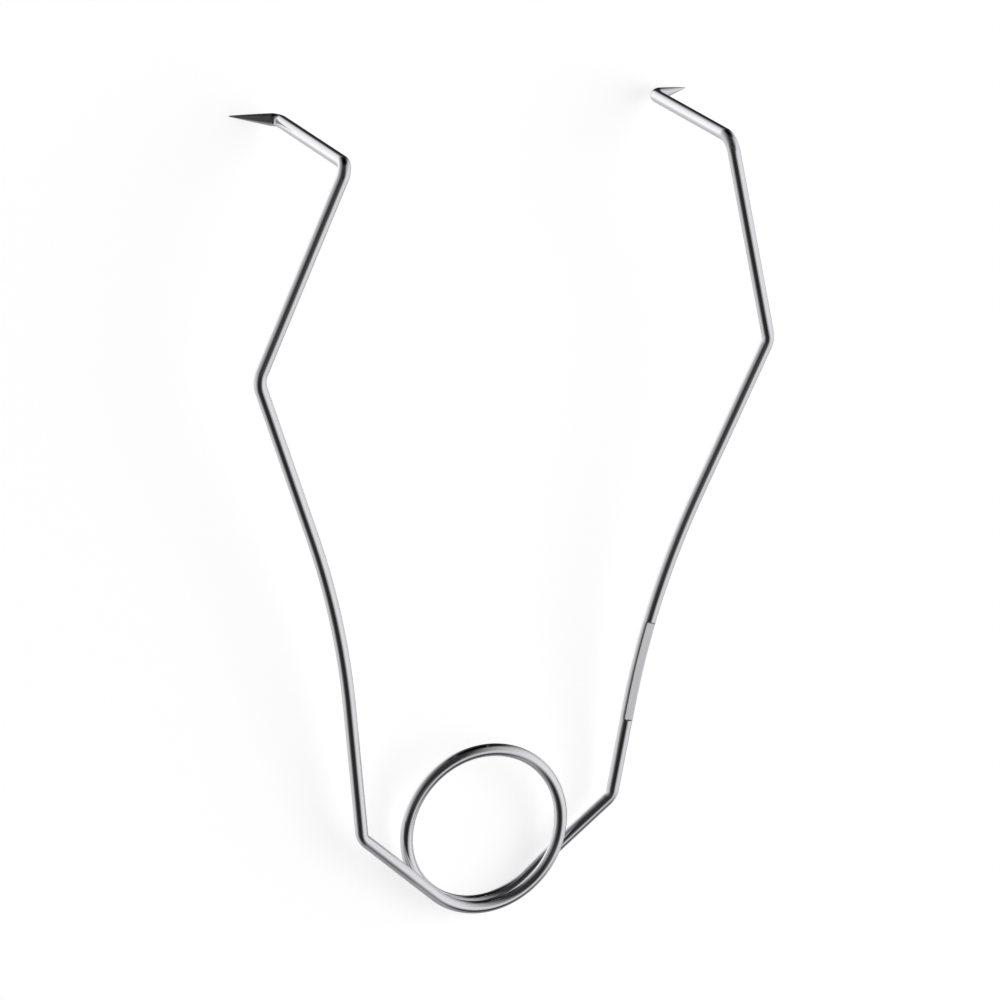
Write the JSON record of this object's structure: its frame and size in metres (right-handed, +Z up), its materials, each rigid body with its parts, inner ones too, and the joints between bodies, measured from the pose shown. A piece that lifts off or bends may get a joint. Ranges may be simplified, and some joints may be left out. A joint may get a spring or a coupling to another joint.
{
  "type": "self retaining retractor",
  "caption": "Self retaining wire retractor: a round spring coil between bent arms, each ending in a deep shank with an outward sharp hook.",
  "frame": {"origin": "centre of the spring coil, on its axis and half way up its winding", "axes": "+Z up, as the retractor stands on its hook points and the underside of the coil; +Y from the coil to the hooks; +X to the arm with the marking flat. The coil's axis leans back by 12.9 degrees in the YZ plane"},
  "size_m": [0.0872, 0.1285, 0.0304],
  "materials": {
    "polished_wire": "polished spring stainless steel",
    "pressed_flat": "pressed flat and left satin",
    "ground_point": "ground to a taper and polished"
  },
  "bodies": {
    "coil": {"spring_coil": "polished_wire", "left_coil_lead": "polished_wire", "right_coil_lead": "polished_wire"},
    "left_arm": {"left_shoulder": "polished_wire", "left_shoulder_bend": "polished_wire", "left_lower_arm": "polished_wire", "left_bow": "polished_wire", "left_middle_arm": "polished_wire", "left_elbow": "polished_wire", "left_upper_arm": "polished_wire", "left_hook_bend": "polished_wire", "left_hook_shank": "polished_wire", "left_hook_point": "ground_point"},
    "right_arm": {"right_shoulder": "polished_wire", "right_shoulder_bend": "polished_wire", "right_lower_arm": "polished_wire", "right_marking_flat": "pressed_flat", "right_bow": "polished_wire", "right_middle_arm": "polished_wire", "right_elbow": "polished_wire", "right_upper_arm": "polished_wire", "right_hook_bend": "polished_wire", "right_hook_shank": "polished_wire", "right_hook_point": "ground_point"}
  },
  "joints": [
    {"name": "left_arm_squeeze", "type": "hinge", "parent": "coil", "child": "left_arm", "pos_m": [0, 0, 0], "axis": [0, 0.2236, -0.9747], "range_deg": [0, 15], "stiffness_Nm_per_rad": 1.6},
    {"name": "right_arm_squeeze", "type": "hinge", "parent": "coil", "child": "right_arm", "pos_m": [0, 0, 0], "axis": [0, -0.2236, 0.9747], "range_deg": [0, 15], "stiffness_Nm_per_rad": 1.6}
  ]
}
